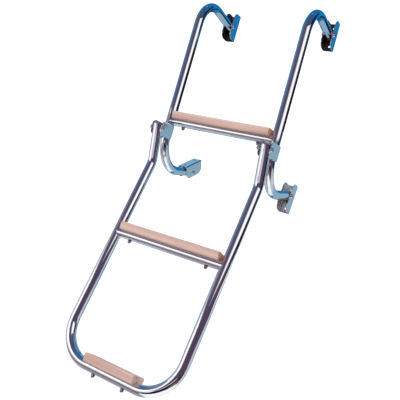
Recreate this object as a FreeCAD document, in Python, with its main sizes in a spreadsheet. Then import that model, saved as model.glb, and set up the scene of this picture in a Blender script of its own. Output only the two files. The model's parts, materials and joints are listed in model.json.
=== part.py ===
import FreeCAD, Part
import os
from FreeCAD import Placement, Rotation, Vector
from math import atan2, cos, degrees, radians, sin
from Sketcher import Constraint

# Folding boat ladder in stainless tube with wooden treads.
# Millimetres, +Z up, +Y towards the boat, +X from the left rail to the right one.
# The origin is the middle of the left top bracket's mounting face.

doc = FreeCAD.newDocument("swim_ladder")

# Driving sizes

sheet = doc.addObject("Spreadsheet::Sheet", "sizes")

DRIVING_SIZES = [
    ("tube_diameter", 22.2, "outside of every tube"),
    ("tube_wall", 1.5, "wall of every tube"),
    ("rail_spacing", 282.0, "left rail axis to right rail axis"),
    ("rung_to_hook", 254.4, "upper rung up to where the hook starts"),
    ("hook_radius", 64.4, "bend of the hook, at the tube axis"),
    ("hook_angle", 95.2, "turn of the hook, in degrees"),
    ("hook_reach", 76.0, "straight from the hook's bend to its bracket bolt"),
    ("rung_to_standoff", 35.0, "upper rung down to where the standoff bend starts"),
    ("standoff_radius", 75.2, "bend of the standoff, at the tube axis"),
    ("standoff_angle", 99.2, "turn of the standoff, in degrees"),
    ("standoff_reach", 65.6, "straight from the standoff's bend to its bracket bolt"),
    ("tube_past_bolt", 10.0, "tube end beyond a bracket bolt"),
    ("pin_forward", 44.4, "hinge bolt in front of the rail axis"),
    ("pin_below_rung", 30.0, "hinge bolt below the upper rung"),
    ("leg_above_pin", 10.4, "end of a leg's tube beyond the hinge bolt"),
    ("crank_length", 82.6, "hinge bolt down to the crank"),
    ("crank_lean_angle", 13.0, "backward slope of the leg above its crank, in degrees"),
    ("crank_radius", 45.0, "bend of the crank, at the tube axis"),
    ("leg_lean_angle", 17.0, "forward slope of the leg below its crank, in degrees"),
    ("crank_to_rung", 185.8, "crank down to the middle rung"),
    ("rung_spacing", 280.2, "middle rung down to the bottom rung"),
    ("corner_radius", 77.0, "bottom corners of the lower frame, at the tube axis"),
    ("tread_width", 50.0, "front to back over a tread's top"),
    ("tread_bottom_width", 39.0, "front to back over a tread's underside"),
    ("tread_thickness", 18.0, "top to underside of a tread"),
    ("tread_cover", 11.0, "wood above the rung"),
    ("tread_end_gap", 2.9, "tread end to the side of the rail"),
    ("short_tread_length", 124.0, "bottom tread"),
    ("tread_top_round", 4.5, "rounding of a tread's top edges"),
    ("tread_low_round", 4.5, "rounding of a tread's lower edges"),
    ("seat_clearance", 0.1, "tread groove to the rung"),
    ("screw_diameter", 4.8, "tread screws"),
    ("screw_head", 9.0, "countersunk head of a tread screw"),
    ("screw_nut_width", 8.0, "cap nut of a tread screw across its flats, under the rung"),
    ("screw_nut_height", 4.0, "hexagon of a tread screw's cap nut"),
    ("screw_nut_dome", 3.6, "radius of a tread screw's dome at the hexagon"),
    ("screw_nut_dome_top", 1.8, "radius of the flat under a tread screw's dome"),
    ("screw_nut_dome_height", 3.0, "dome of a tread screw's cap nut"),
    ("screw_spacing", 200.0, "screws of a long tread"),
    ("short_screw_spacing", 75.0, "screws of the bottom tread"),
    ("hinge_plate", 2.0, "ear plate of a hinge bracket"),
    ("hinge_play", 1.4, "leg tube to the ear on each side"),
    ("hinge_margin", 5.5, "ear plate in front of the hinge bolt"),
    ("hinge_back", 2.4, "ear plate behind the rail axis at its top"),
    ("hinge_taper", 0.6, "how much less far back the ear plate reaches at its foot"),
    ("hinge_height", 35.0, "ear plate from top to foot"),
    ("hinge_under_rung", 0.5, "gap from the rung down to the ear plate"),
    ("hinge_front_round", 12.0, "front corners of the ear plate"),
    ("hinge_back_round", 4.0, "back corners of the ear plate"),
    ("weld_length", 20.0, "weld seam between ear plate and rail"),
    ("weld_width", 3.0, "weld seam measured front to back"),
    ("stop_diameter", 8.0, "stop bar behind the leg"),
    ("stop_below_pin", 15.5, "stop bar along the leg from the hinge bolt"),
    ("stop_gap", 0.3, "leg tube to the stop bar"),
    ("bolt_diameter", 6.0, "hinge and bracket bolts"),
    ("bolt_head", 11.0, "button head of a bolt"),
    ("bolt_head_height", 3.6, "button head of a bolt"),
    ("bolt_head_bevel", 1.9, "bevel round the top of a bolt head"),
    ("bolt_play", 0.08, "bolt to a hole that turns on it, all round"),
    ("socket_width", 4.0, "hexagon socket in a bolt head, across its flats"),
    ("socket_depth", 2.2, "hexagon socket in a bolt head"),
    ("nut_width", 10.0, "cap nut across its flats"),
    ("nut_height", 3.4, "hexagon of a low cap nut"),
    ("nut_dome", 4.4, "radius of a cap nut's dome at the hexagon"),
    ("nut_dome_top", 2.8, "radius of the flat on top of a cap nut's dome"),
    ("nut_dome_height", 2.0, "dome of a cap nut"),
    ("plug_cap", 2.0, "cap of a leg plug"),
    ("plug_stem", 7.0, "part of a leg plug inside the tube"),
    ("plug_bevel", 1.2, "bevel round the cap of a leg plug"),
    ("bracket_length", 72.0, "mounting bracket along its web"),
    ("bracket_plate", 1.6, "plate of a mounting bracket"),
    ("bracket_depth", 35.0, "mounting face to the free edge of the ears"),
    ("bracket_play", 0.6, "tube to the bracket's ear on each side"),
    ("bracket_corner", 17.0, "free corners of the ears"),
    ("bracket_bend", 3.0, "outside of the fold between web and ear"),
    ("face_to_bolt", 25.5, "mounting face to the bracket bolt"),
    ("bolt_offset", 3.0, "bracket bolt to the middle of the bracket's length"),
    ("mount_hole", 5.5, "screw holes in a bracket's web"),
    ("mount_hole_spacing", 48.0, "screw holes in a bracket's web"),
    ("left_swing_angle", 118.0, "turn of the bottom left bracket as it hangs, in degrees"),
    ("right_swing_angle", -10.0, "turn of the bottom right bracket as it hangs, in degrees"),
]

for row, (alias, value, meaning) in enumerate(DRIVING_SIZES, start=1):
    sheet.set("A%d" % row, alias)
    sheet.set("B%d" % row, str(value))
    sheet.set("C%d" % row, meaning)
    sheet.setAlias("B%d" % row, alias)
doc.recompute()


def size(alias):
    return float(sheet.get(alias))


# Closeness for finding an edge by its level or direction

LEVEL_TOLERANCE = 0.01
STRAIGHT_ENOUGH = 0.999

# Places worked out from the driving sizes, as expressions

TUBE_RADIUS = "(sizes.tube_diameter / 2)"
INNER_RADIUS = "(sizes.tube_diameter / 2 - sizes.tube_wall)"
BOLT_RADIUS = "(sizes.bolt_diameter / 2)"
TURNING_HOLE = "(sizes.bolt_diameter / 2 + sizes.bolt_play)"
HALF_SPACING = "(sizes.rail_spacing / 2)"

# The two bracket bolts of a rail, seen from the crossing of its axis and the upper rung.
HOOK_BOLT_Y = ("(sizes.hook_radius * (1 - cos(sizes.hook_angle))"
               " + sizes.hook_reach * sin(sizes.hook_angle))")
HOOK_BOLT_Z = ("(sizes.rung_to_hook + sizes.hook_radius * sin(sizes.hook_angle)"
               " + sizes.hook_reach * cos(sizes.hook_angle))")
STANDOFF_BOLT_Y = ("(sizes.standoff_radius * (1 - cos(sizes.standoff_angle))"
                   " + sizes.standoff_reach * sin(sizes.standoff_angle))")
STANDOFF_BOLT_Z = ("(-(sizes.rung_to_standoff"
                   " + sizes.standoff_radius * sin(sizes.standoff_angle)"
                   " + sizes.standoff_reach * cos(sizes.standoff_angle)))")

# The rail axis and the upper rung, seen from the left top bracket's mounting face.
RAIL_Y = "(-(sizes.face_to_bolt + %s))" % HOOK_BOLT_Y
RUNG_Z = "(-(sizes.bolt_offset + %s))" % HOOK_BOLT_Z
PIN_Y = "(%s - sizes.pin_forward)" % RAIL_Y
PIN_Z = "(%s - sizes.pin_below_rung)" % RUNG_Z
CRANK_Y = "(%s + sizes.crank_length * sin(sizes.crank_lean_angle))" % PIN_Y
CRANK_Z = "(%s - sizes.crank_length * cos(sizes.crank_lean_angle))" % PIN_Z
CRANK_TURN = "(sizes.crank_lean_angle + sizes.leg_lean_angle)"
CRANK_TANGENT = "(sizes.crank_radius * tan(%s / 2))" % CRANK_TURN
MIDDLE_RUNG = "(sizes.crank_to_rung)"
BOTTOM_RUNG = "(sizes.crank_to_rung + sizes.rung_spacing)"


def place(piece, x="0", y="0", z="0", turn="0"):
    """Put a piece at x, y, z after a turn about the X axis, all from the sheet."""
    piece.Placement = Placement(Vector(), Rotation(Vector(1, 0, 0), 10))
    for field, formula in (("Base.x", x), ("Base.y", y), ("Base.z", z),
                           ("Rotation.Angle", turn)):
        piece.setExpression("Placement." + field, formula)


def place_on_upper_frame(piece, x="0"):
    place(piece, x, RAIL_Y, RUNG_Z)


def place_on_lower_frame(piece):
    """The lower frame's own axes start at its crank, midway between its legs."""
    place(piece, HALF_SPACING, CRANK_Y, CRANK_Z, "-sizes.leg_lean_angle")


def value_of(formula):
    """Value of an expression at the present sizes, for the first shape of a sketch."""
    return float(getattr(sheet.evalExpression(formula), "Value", sheet.evalExpression(formula)))


# Helpers for sketched bodies

def new_body(label):
    body = doc.addObject("PartDesign::Body", label)
    body.Label = label
    return body


def new_sketch(body, name, plane, offset="0"):
    """Sketch on one of the body's own planes, moved along the plane's normal by offset."""
    sketch = body.newObject("Sketcher::SketchObject", name)
    support = [item for item in body.Origin.OriginFeatures if item.Role == plane][0]
    sketch.AttachmentSupport = (support, "")
    sketch.MapMode = "FlatFace"
    if offset != "0":
        sketch.setExpression("AttachmentOffset.Base.z", offset)
    return sketch


def bind(sketch, kind, references, formula):
    """Dimension of a sketch, bound to a formula."""
    value = radians(value_of(formula)) if kind == "Angle" else value_of(formula)
    index = sketch.addConstraint(Constraint(kind, *references, value))
    sketch.setExpression("Constraints[%d]" % index, formula)


def pin_point(sketch, geometry, end, across, up):
    """Hold one point of the sketch at two formulas, measured from the sketch's origin."""
    bind(sketch, "DistanceX", (-1, 1, geometry, end), across)
    bind(sketch, "DistanceY", (-1, 1, geometry, end), up)


def add_circle(sketch, radius, across="0", up="0"):
    centre = Vector(value_of(across), value_of(up), 0)
    circle = Part.Circle(centre, Vector(0, 0, 1), value_of(radius))
    geometry = sketch.addGeometry(circle, False)
    pin_point(sketch, geometry, 3, across, up)
    bind(sketch, "Radius", (geometry,), radius)


def add_outline(sketch, corners):
    """Closed outline of straight sides, each corner held by two formulas."""
    points = [Vector(value_of(across), value_of(up), 0) for across, up in corners]
    first = None
    for index, point in enumerate(points):
        side = Part.LineSegment(point, points[(index + 1) % len(points)])
        geometry = sketch.addGeometry(side, False)
        if first is None:
            first = geometry
        else:
            sketch.addConstraint(Constraint("Coincident", geometry - 1, 2, geometry, 1))
    sketch.addConstraint(Constraint("Coincident", first + len(points) - 1, 2, first, 1))
    for index, (across, up) in enumerate(corners):
        pin_point(sketch, first + index, 1, across, up)


def pad(body, sketch, length, middle=True):
    feature = body.newObject("PartDesign::Pad", sketch.Name + "_pad")
    feature.Profile = sketch
    feature.SideType = "Symmetric" if middle else "One side"
    feature.setExpression("Length", length)
    doc.recompute()


def pocket(body, sketch, length):
    """Cut to both sides of the sketch."""
    before = body.Shape.Volume
    feature = body.newObject("PartDesign::Pocket", sketch.Name + "_pocket")
    feature.Profile = sketch
    feature.SideType = "Symmetric"
    feature.setExpression("Length", length)
    doc.recompute()
    if body.Shape.Volume >= before:
        raise RuntimeError(feature.Name + " cuts nothing")


def dress_edges(body, kind, name, field, formula, wanted):
    """Fillet or Chamfer on the body's edges for which wanted(edge) holds."""
    tip = body.Tip
    names = ["Edge%d" % (index + 1) for index, edge in enumerate(tip.Shape.Edges) if wanted(edge)]
    if not names:
        raise RuntimeError(name + " finds no edge")
    feature = body.newObject("PartDesign::" + kind, name)
    feature.Base = (tip, names)
    feature.setExpression(field, formula)
    doc.recompute()
    if not feature.isValid():
        raise RuntimeError(name + " is not built")


def round_edges(body, name, radius, wanted):
    dress_edges(body, "Fillet", name, "Radius", radius, wanted)


def bevel_edges(body, name, width, wanted):
    dress_edges(body, "Chamfer", name, "Size", width, wanted)


def runs_along(edge, axis):
    """Is the edge a straight one along the axis?"""
    first, last = edge.Vertexes[0].Point, edge.Vertexes[-1].Point
    span = last - first
    if span.Length < LEVEL_TOLERANCE or edge.Curve.TypeId != "Part::GeomLine":
        return False
    return abs(span.normalize().dot(axis)) > STRAIGHT_ENOUGH


def middle_of(edge):
    return edge.BoundBox.Center


# Bent tube: a ring swept along straights and arcs

def add_route(sketch, start, heading, steps):
    """Route of straights and arcs that meet as tangents.

    start is a pair of formulas, heading the formula of the first direction in degrees, and steps
    lists ("straight", length) and ("bend", radius, turn), a positive turn going anticlockwise.
    """
    point = Vector(value_of(start[0]), value_of(start[1]), 0)
    angle = radians(value_of(heading))
    previous = None
    for step in steps:
        if step[0] == "straight":
            end = point + Vector(cos(angle), sin(angle), 0) * value_of(step[1])
            geometry = sketch.addGeometry(Part.LineSegment(point, end), False)
            bind(sketch, "Distance", (geometry,), step[1])
            bind(sketch, "Angle", (geometry,), heading)
            own_start, own_end = 1, 2
        else:
            radius, turn = value_of(step[1]), radians(value_of(step[2]))
            side = 1 if turn > 0 else -1
            centre = point + Vector(-sin(angle), cos(angle), 0) * radius * side
            arm = point - centre
            first = atan2(arm.y, arm.x)
            circle = Part.Circle(centre, Vector(0, 0, 1), radius)
            low, high = min(first, first + turn), max(first, first + turn)
            geometry = sketch.addGeometry(Part.ArcOfCircle(circle, low, high), False)
            bind(sketch, "Radius", (geometry,), step[1])
            own_start, own_end = (1, 2) if turn > 0 else (2, 1)
            angle += turn
            heading = "(%s + %s)" % (heading, step[2])
            end = centre + Rotation(Vector(0, 0, 1), degrees(turn)).multVec(arm)
        if previous is None:
            pin_point(sketch, geometry, own_start, *start)
        else:
            sketch.addConstraint(
                Constraint("Tangent", previous[0], previous[1], geometry, own_start))
        previous = (geometry, own_end)
        point = end
    doc.recompute()


def sweep_tube(body, route, ring):
    pipe = body.newObject("PartDesign::AdditivePipe", route.Name + "_tube")
    pipe.Profile = ring
    pipe.Spine = (route, [])
    doc.recompute()


def ring_across(body, name, route):
    """Tube section at the start of a route."""
    ring = body.newObject("Sketcher::SketchObject", name)
    ring.AttachmentSupport = (route, "Edge1")
    ring.MapMode = "NormalToEdge"
    ring.MapPathParameter = 0
    add_circle(ring, TUBE_RADIUS)
    add_circle(ring, INNER_RADIUS)
    doc.recompute()
    return ring


def drill_across(body, name, radius, across, up, length):
    """Hole along X through the body, seen on its own YZ plane."""
    sketch = new_sketch(body, name, "YZ_Plane")
    add_circle(sketch, radius, across, up)
    doc.recompute()
    pocket(body, sketch, length)


# Upper rails: hook, straight and standoff bent in one tube

THROUGH_TUBE = "(2 * sizes.tube_diameter)"


def upper_rail(label, x):
    body = new_body(label)
    route = new_sketch(body, label + "_route", "YZ_Plane")
    add_route(
        route,
        ("(%s + sizes.tube_past_bolt * sin(sizes.standoff_angle))" % STANDOFF_BOLT_Y,
         "(%s - sizes.tube_past_bolt * cos(sizes.standoff_angle))" % STANDOFF_BOLT_Z),
        "(90 + sizes.standoff_angle)",
        [("straight", "(sizes.standoff_reach + sizes.tube_past_bolt)"),
         ("bend", "sizes.standoff_radius", "(-sizes.standoff_angle)"),
         ("straight", "(sizes.rung_to_standoff + sizes.rung_to_hook)"),
         ("bend", "sizes.hook_radius", "(-sizes.hook_angle)"),
         ("straight", "(sizes.hook_reach + sizes.tube_past_bolt)")])
    sweep_tube(body, route, ring_across(body, label + "_ring", route))
    drill_across(body, label + "_hook_hole", TURNING_HOLE,
                 HOOK_BOLT_Y, HOOK_BOLT_Z, THROUGH_TUBE)
    drill_across(body, label + "_standoff_hole", TURNING_HOLE,
                 STANDOFF_BOLT_Y, STANDOFF_BOLT_Z, THROUGH_TUBE)
    place_on_upper_frame(body, x)
    return body


# Lower frame: one tube bent to a U, each leg cranked towards its hinge bolt

def lower_frame_body():
    body = new_body("lower_frame_body")
    leg = "(%s - sizes.corner_radius - %s)" % (BOTTOM_RUNG, CRANK_TANGENT)
    route = new_sketch(body, "lower_frame_route", "XZ_Plane")
    add_route(
        route,
        ("(-%s)" % HALF_SPACING, "(-%s)" % CRANK_TANGENT),
        "(-90)",
        [("straight", leg),
         ("bend", "sizes.corner_radius", "90"),
         ("straight", "(sizes.rail_spacing - 2 * sizes.corner_radius)"),
         ("bend", "sizes.corner_radius", "90"),
         ("straight", leg)])
    sweep_tube(body, route, ring_across(body, "lower_frame_ring", route))
    for side, offset in (("left", "(-%s)" % HALF_SPACING), ("right", HALF_SPACING)):
        crank = new_sketch(body, side + "_crank_route", "YZ_Plane", offset)
        add_route(
            crank,
            ("0", "(-%s)" % CRANK_TANGENT),
            "90",
            [("bend", "sizes.crank_radius", CRANK_TURN),
             ("straight", "(sizes.crank_length - %s + sizes.leg_above_pin)" % CRANK_TANGENT)])
        sweep_tube(body, crank, ring_across(body, side + "_crank_ring", crank))
    drill_across(body, "hinge_hole", TURNING_HOLE,
                 "(-sizes.crank_length * sin(%s))" % CRANK_TURN,
                 "(sizes.crank_length * cos(%s))" % CRANK_TURN,
                 "(sizes.rail_spacing + 2 * sizes.tube_diameter)")
    return body


def leg_plug(label, x):
    """Cap and stem that close the open top of a leg."""
    body = new_body(label)
    stem = new_sketch(body, label + "_stem", "XY_Plane", "(-sizes.plug_stem)")
    add_circle(stem, INNER_RADIUS)
    pad(body, stem, "(sizes.plug_stem + sizes.plug_cap)", False)
    cap = new_sketch(body, label + "_cap", "XY_Plane")
    add_circle(cap, TUBE_RADIUS)
    pad(body, cap, "sizes.plug_cap", False)
    top = size("plug_cap")
    bevel_edges(body, label + "_rim", "sizes.plug_bevel",
                lambda edge: edge.BoundBox.ZMin > top - LEVEL_TOLERANCE)
    above = "(sizes.leg_above_pin)"
    place(body, x, "(%s - %s * sin(sizes.crank_lean_angle))" % (PIN_Y, above),
          "(%s + %s * cos(sizes.crank_lean_angle))" % (PIN_Z, above), "sizes.crank_lean_angle")
    return body


# Rungs, treads and their screws, along the middle of a frame

def cylinder(label, radius, height, x="0", y="0", z="0", along_x=False):
    piece = doc.addObject("Part::Cylinder", label)
    piece.setExpression("Radius", radius)
    piece.setExpression("Height", height)
    if along_x:
        piece.Placement = Placement(Vector(), Rotation(Vector(0, 1, 0), 90))
    for field, formula in (("x", x), ("y", y), ("z", z)):
        piece.setExpression("Placement.Base." + field, formula)
    return piece


def cone(label, low_radius, high_radius, height, x, z):
    piece = doc.addObject("Part::Cone", label)
    piece.setExpression("Radius1", low_radius)
    piece.setExpression("Radius2", high_radius)
    piece.setExpression("Height", height)
    piece.setExpression("Placement.Base.x", x)
    piece.setExpression("Placement.Base.z", z)
    return piece


def cut(label, base, tool):
    piece = doc.addObject("Part::Cut", label)
    piece.Label = label
    piece.Base = base
    piece.Tool = tool
    doc.recompute()
    return piece


def fuse(label, parts):
    piece = doc.addObject("Part::MultiFuse", label)
    piece.Label = label
    piece.Shapes = parts
    piece.Refine = True
    doc.recompute()
    return piece


def tread_screws(label, rung, spacing):
    """Two countersunk screws down through tread and rung, each with a cap nut under the rung.

    The second piece is the room the screws take in tread and rung, without the nuts.
    """
    top = "(%s + %s + sizes.tread_cover)" % (rung, TUBE_RADIUS)
    nut_top = "(%s - %s)" % (rung, TUBE_RADIUS)
    nut_foot = "(%s - sizes.screw_nut_height)" % nut_top
    shank_radius = "(sizes.screw_diameter / 2)"
    head_height = "((sizes.screw_head - sizes.screw_diameter) / 2)"
    shank_height = "(%s - %s - %s)" % (top, head_height, nut_foot)
    screws, nuts = [], []
    for side, x in (("left", "(-%s / 2)" % spacing), ("right", "(%s / 2)" % spacing)):
        name = label + "_" + side
        screws.append(cylinder(name + "_shank", shank_radius, shank_height, x, "0", nut_foot))
        screws.append(cone(name + "_head", shank_radius, "(sizes.screw_head / 2)",
                           head_height, x, "(%s - %s)" % (top, head_height)))
        flats = doc.addObject("Part::Prism", name + "_nut")
        flats.Polygon = 6
        for field, formula in (("Circumradius", "(sizes.screw_nut_width / (2 * cos(30)))"),
                               ("Height", "sizes.screw_nut_height"),
                               ("Placement.Base.x", x), ("Placement.Base.z", nut_foot)):
            flats.setExpression(field, formula)
        nuts.append(flats)
        nuts.append(cone(name + "_dome", "sizes.screw_nut_dome_top", "sizes.screw_nut_dome",
                         "sizes.screw_nut_dome_height", x,
                         "(%s - sizes.screw_nut_dome_height)" % nut_foot))
    return fuse(label, screws + nuts), fuse(label + "_bores", screws)


def tread(label, rung, length, bores):
    """Board with sloped front and back, grooved to sit down over the rung."""
    body = new_body(label + "_board")
    top = "(%s + %s + sizes.tread_cover)" % (rung, TUBE_RADIUS)
    foot = "(%s - sizes.tread_thickness)" % top
    half_top = "(sizes.tread_width / 2)"
    half_foot = "(sizes.tread_bottom_width / 2)"
    section = new_sketch(body, label + "_section", "YZ_Plane")
    add_outline(section, [("(-%s)" % half_foot, foot), (half_foot, foot),
                          (half_top, top), ("(-%s)" % half_top, top)])
    pad(body, section, length)
    groove = new_sketch(body, label + "_groove", "YZ_Plane")
    add_circle(groove, "(%s + sizes.seat_clearance)" % TUBE_RADIUS, "0", rung)
    pocket(body, groove, "(2 * %s)" % length)
    along = Vector(1, 0, 0)
    top_level = value_of(top)
    foot_level = value_of(foot)
    foot_half = value_of(half_foot)
    round_edges(body, label + "_top_round", "sizes.tread_top_round",
                lambda edge: runs_along(edge, along)
                and abs(middle_of(edge).z - top_level) < LEVEL_TOLERANCE)
    round_edges(body, label + "_low_round", "sizes.tread_low_round",
                lambda edge: runs_along(edge, along)
                and abs(middle_of(edge).z - foot_level) < LEVEL_TOLERANCE
                and abs(abs(middle_of(edge).y) - foot_half) < LEVEL_TOLERANCE)
    return cut(label, body, bores)


def coped_rung(label, rung, bores):
    """Straight tube whose ends are cut to the rails' sides."""
    start = "(-%s)" % HALF_SPACING
    outside = cylinder(label + "_outside", TUBE_RADIUS, "sizes.rail_spacing",
                       start, "0", rung, True)
    inside = cylinder(label + "_inside", INNER_RADIUS, "sizes.rail_spacing",
                      start, "0", rung, True)
    tube = cut(label + "_tube", outside, inside)
    reach = "(4 * sizes.tube_diameter)"
    low = "(%s - %s / 2)" % (rung, reach)
    rails = fuse(label + "_copes", [
        cylinder(label + "_left_cope", TUBE_RADIUS, reach, start, "0", low),
        cylinder(label + "_right_cope", TUBE_RADIUS, reach, HALF_SPACING, "0", low)])
    return cut(label, cut(label + "_coped", tube, rails), bores)


LONG_TREAD = "(sizes.rail_spacing - sizes.tube_diameter - 2 * sizes.tread_end_gap)"


# Bolts with button heads and domed cap nuts, along X through a pair of ears

HALF_BRACKET = "(%s + sizes.bracket_play + sizes.bracket_plate)" % TUBE_RADIUS
HALF_HINGE = "(%s + sizes.hinge_play + sizes.hinge_plate)" % TUBE_RADIUS


def hexagon(sketch, width):
    """Six-sided outline with the given width across its flats."""
    corner = "(%s / (2 * cos(30)))" % width
    add_outline(sketch, [("(%s * cos(%d))" % (corner, turn), "(%s * sin(%d))" % (corner, turn))
                         for turn in range(0, 360, 60)])


def bolt(label, half_grip):
    """Button-headed bolt, its head on the +X side of the ears."""
    body = new_body(label)
    head_outside = "(%s + sizes.bolt_head_height)" % half_grip
    shank = new_sketch(body, label + "_shank", "YZ_Plane", "(-(%s + sizes.nut_height))" % half_grip)
    add_circle(shank, BOLT_RADIUS)
    pad(body, shank, "(2 * %s + sizes.nut_height)" % half_grip, False)
    head = new_sketch(body, label + "_head", "YZ_Plane", half_grip)
    add_circle(head, "(sizes.bolt_head / 2)")
    pad(body, head, "sizes.bolt_head_height", False)
    top = value_of(head_outside)
    bevel_edges(body, label + "_button", "sizes.bolt_head_bevel",
                lambda edge: edge.BoundBox.XMin > top - LEVEL_TOLERANCE)
    socket = new_sketch(body, label + "_socket", "YZ_Plane", head_outside)
    hexagon(socket, "sizes.socket_width")
    pocket(body, socket, "(2 * sizes.socket_depth)")
    return body


def cap_nut(label, half_grip):
    """Low hexagon with a dome, on the -X side of the ears."""
    body = new_body(label)
    outside = "(-(%s + sizes.nut_height))" % half_grip
    flats = new_sketch(body, label + "_flats", "YZ_Plane", outside)
    hexagon(flats, "sizes.nut_width")
    pad(body, flats, "sizes.nut_height", False)
    dome = body.newObject("PartDesign::AdditiveCone", label + "_dome")
    dome.Placement = Placement(Vector(), Rotation(Vector(0, 1, 0), -90))
    dome.setExpression("Radius1", "sizes.nut_dome")
    dome.setExpression("Radius2", "sizes.nut_dome_top")
    dome.setExpression("Height", "sizes.nut_dome_height")
    dome.setExpression("Placement.Base.x", outside)
    doc.recompute()
    thread = new_sketch(body, label + "_thread", "YZ_Plane", "(-%s)" % half_grip)
    add_circle(thread, BOLT_RADIUS)
    pocket(body, thread, "(2 * sizes.nut_height)")
    return body


# Hinge brackets: two ear plates and a stop bar, welded to the sides of a rail

def hinge_bracket(label, x):
    body = new_body(label)
    half_inside = "(%s + sizes.hinge_play)" % TUBE_RADIUS
    top = "(-(%s + sizes.hinge_under_rung))" % TUBE_RADIUS
    foot = "(%s - sizes.hinge_height)" % top
    front = "(-(sizes.pin_forward + sizes.hinge_margin))"
    back_foot = "(sizes.hinge_back - sizes.hinge_taper)"
    behind = "(%s + sizes.stop_gap + sizes.stop_diameter / 2)" % TUBE_RADIUS
    stop_y = ("(-sizes.pin_forward + sizes.stop_below_pin * sin(sizes.crank_lean_angle)"
              " + %s * cos(sizes.crank_lean_angle))" % behind)
    stop_z = ("(-sizes.pin_below_rung - sizes.stop_below_pin * cos(sizes.crank_lean_angle)"
              " + %s * sin(sizes.crank_lean_angle))" % behind)
    bar = new_sketch(body, label + "_bar", "YZ_Plane")
    add_circle(bar, "(sizes.stop_diameter / 2)", stop_y, stop_z)
    pad(body, bar, "(2 * %s + sizes.hinge_plate)" % half_inside)
    for side, offset in (("near", half_inside), ("far", "(-%s)" % HALF_HINGE)):
        ear = new_sketch(body, label + "_" + side + "_ear", "YZ_Plane", offset)
        add_outline(ear, [(front, foot), (back_foot, foot),
                          ("sizes.hinge_back", top), (front, top)])
        pad(body, ear, "sizes.hinge_plate", False)
    seam_middle = "((%s - sizes.rung_to_standoff) / 2)" % top
    seam = new_sketch(body, label + "_seam", "XY_Plane", seam_middle)
    root = "(%s - sizes.weld_width / 2)" % TUBE_RADIUS
    half_weld = "(sizes.weld_width / 2)"
    for sign in ("", "-"):
        add_outline(seam, [("(%s%s)" % (sign, root), "(-%s)" % half_weld),
                           ("(%s%s)" % (sign, half_inside), "(-%s)" % half_weld),
                           ("(%s%s)" % (sign, half_inside), half_weld),
                           ("(%s%s)" % (sign, root), half_weld)])
    pad(body, seam, "sizes.weld_length")
    rail = new_sketch(body, label + "_rail_side", "XY_Plane", "((%s + %s) / 2)" % (top, foot))
    add_circle(rail, TUBE_RADIUS)
    pocket(body, rail, "(2 * sizes.hinge_height)")
    drill_across(body, label + "_pin_hole", BOLT_RADIUS, "(-sizes.pin_forward)",
                 "(-sizes.pin_below_rung)", "(4 * %s)" % HALF_HINGE)
    front_level = value_of(front)
    along = Vector(1, 0, 0)
    round_edges(body, label + "_front_round", "sizes.hinge_front_round",
                lambda edge: runs_along(edge, along)
                and abs(middle_of(edge).y - front_level) < LEVEL_TOLERANCE)
    back_level = value_of(back_foot) - LEVEL_TOLERANCE
    top_level, foot_level = value_of(top), value_of(foot)
    round_edges(body, label + "_back_round", "sizes.hinge_back_round",
                lambda edge: runs_along(edge, along) and middle_of(edge).y > back_level
                and (abs(middle_of(edge).z - top_level) < LEVEL_TOLERANCE
                     or abs(middle_of(edge).z - foot_level) < LEVEL_TOLERANCE))
    place_on_upper_frame(body, x)
    return body


# Mounting brackets: a folded channel whose ears straddle a tube end

def mounting_bracket(label, offset):
    """Channel about its bolt, with the web towards +Y and its middle at offset above the bolt."""
    body = new_body(label)
    free_edge = "(sizes.face_to_bolt - sizes.bracket_depth)"
    low = "(%s - sizes.bracket_length / 2)" % offset
    high = "(%s + sizes.bracket_length / 2)" % offset
    side = new_sketch(body, label + "_side", "YZ_Plane")
    add_outline(side, [(free_edge, low), ("sizes.face_to_bolt", low),
                       ("sizes.face_to_bolt", high), (free_edge, high)])
    pad(body, side, "(2 * %s)" % HALF_BRACKET)
    channel = new_sketch(body, label + "_channel", "XY_Plane", offset)
    half_inside = "(%s - sizes.bracket_plate)" % HALF_BRACKET
    web_inside = "(sizes.face_to_bolt - sizes.bracket_plate)"
    mouth = "(%s - sizes.bracket_plate)" % free_edge
    add_outline(channel, [("(-%s)" % half_inside, mouth), (half_inside, mouth),
                          (half_inside, web_inside), ("(-%s)" % half_inside, web_inside)])
    pocket(body, channel, "(2 * sizes.bracket_length)")
    along_x, along_z = Vector(1, 0, 0), Vector(0, 0, 1)
    free_level, face_level = value_of(free_edge), size("face_to_bolt")
    inside_level = value_of(web_inside)
    round_edges(body, label + "_corners", "sizes.bracket_corner",
                lambda edge: runs_along(edge, along_x)
                and abs(middle_of(edge).y - free_level) < LEVEL_TOLERANCE)
    round_edges(body, label + "_fold", "sizes.bracket_bend",
                lambda edge: runs_along(edge, along_z)
                and abs(middle_of(edge).y - face_level) < LEVEL_TOLERANCE)
    round_edges(body, label + "_inside_fold", "(sizes.bracket_bend - sizes.bracket_plate)",
                lambda edge: runs_along(edge, along_z)
                and abs(middle_of(edge).y - inside_level) < LEVEL_TOLERANCE)
    drill_across(body, label + "_bolt_hole", BOLT_RADIUS, "0", "0", "(4 * %s)" % HALF_BRACKET)
    holes = new_sketch(body, label + "_holes", "XZ_Plane")
    for sign in ("+", "-"):
        add_circle(holes, "(sizes.mount_hole / 2)", "0",
                   "(%s %s sizes.mount_hole_spacing / 2)" % (offset, sign))
    pocket(body, holes, "(4 * sizes.face_to_bolt)")
    return body


# The pieces, each under its own name

kept = []

for side, x in (("left", "0"), ("right", "sizes.rail_spacing")):
    kept.append(upper_rail(side + "_upper_rail", x))
    kept.append(hinge_bracket(side + "_hinge_bracket", x))
    for piece in (bolt(side + "_hinge_bolt", HALF_HINGE),
                  cap_nut(side + "_hinge_nut", HALF_HINGE)):
        place(piece, x, PIN_Y, PIN_Z)
        kept.append(piece)
    kept.append(leg_plug(side + "_leg_plug", x))

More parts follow.
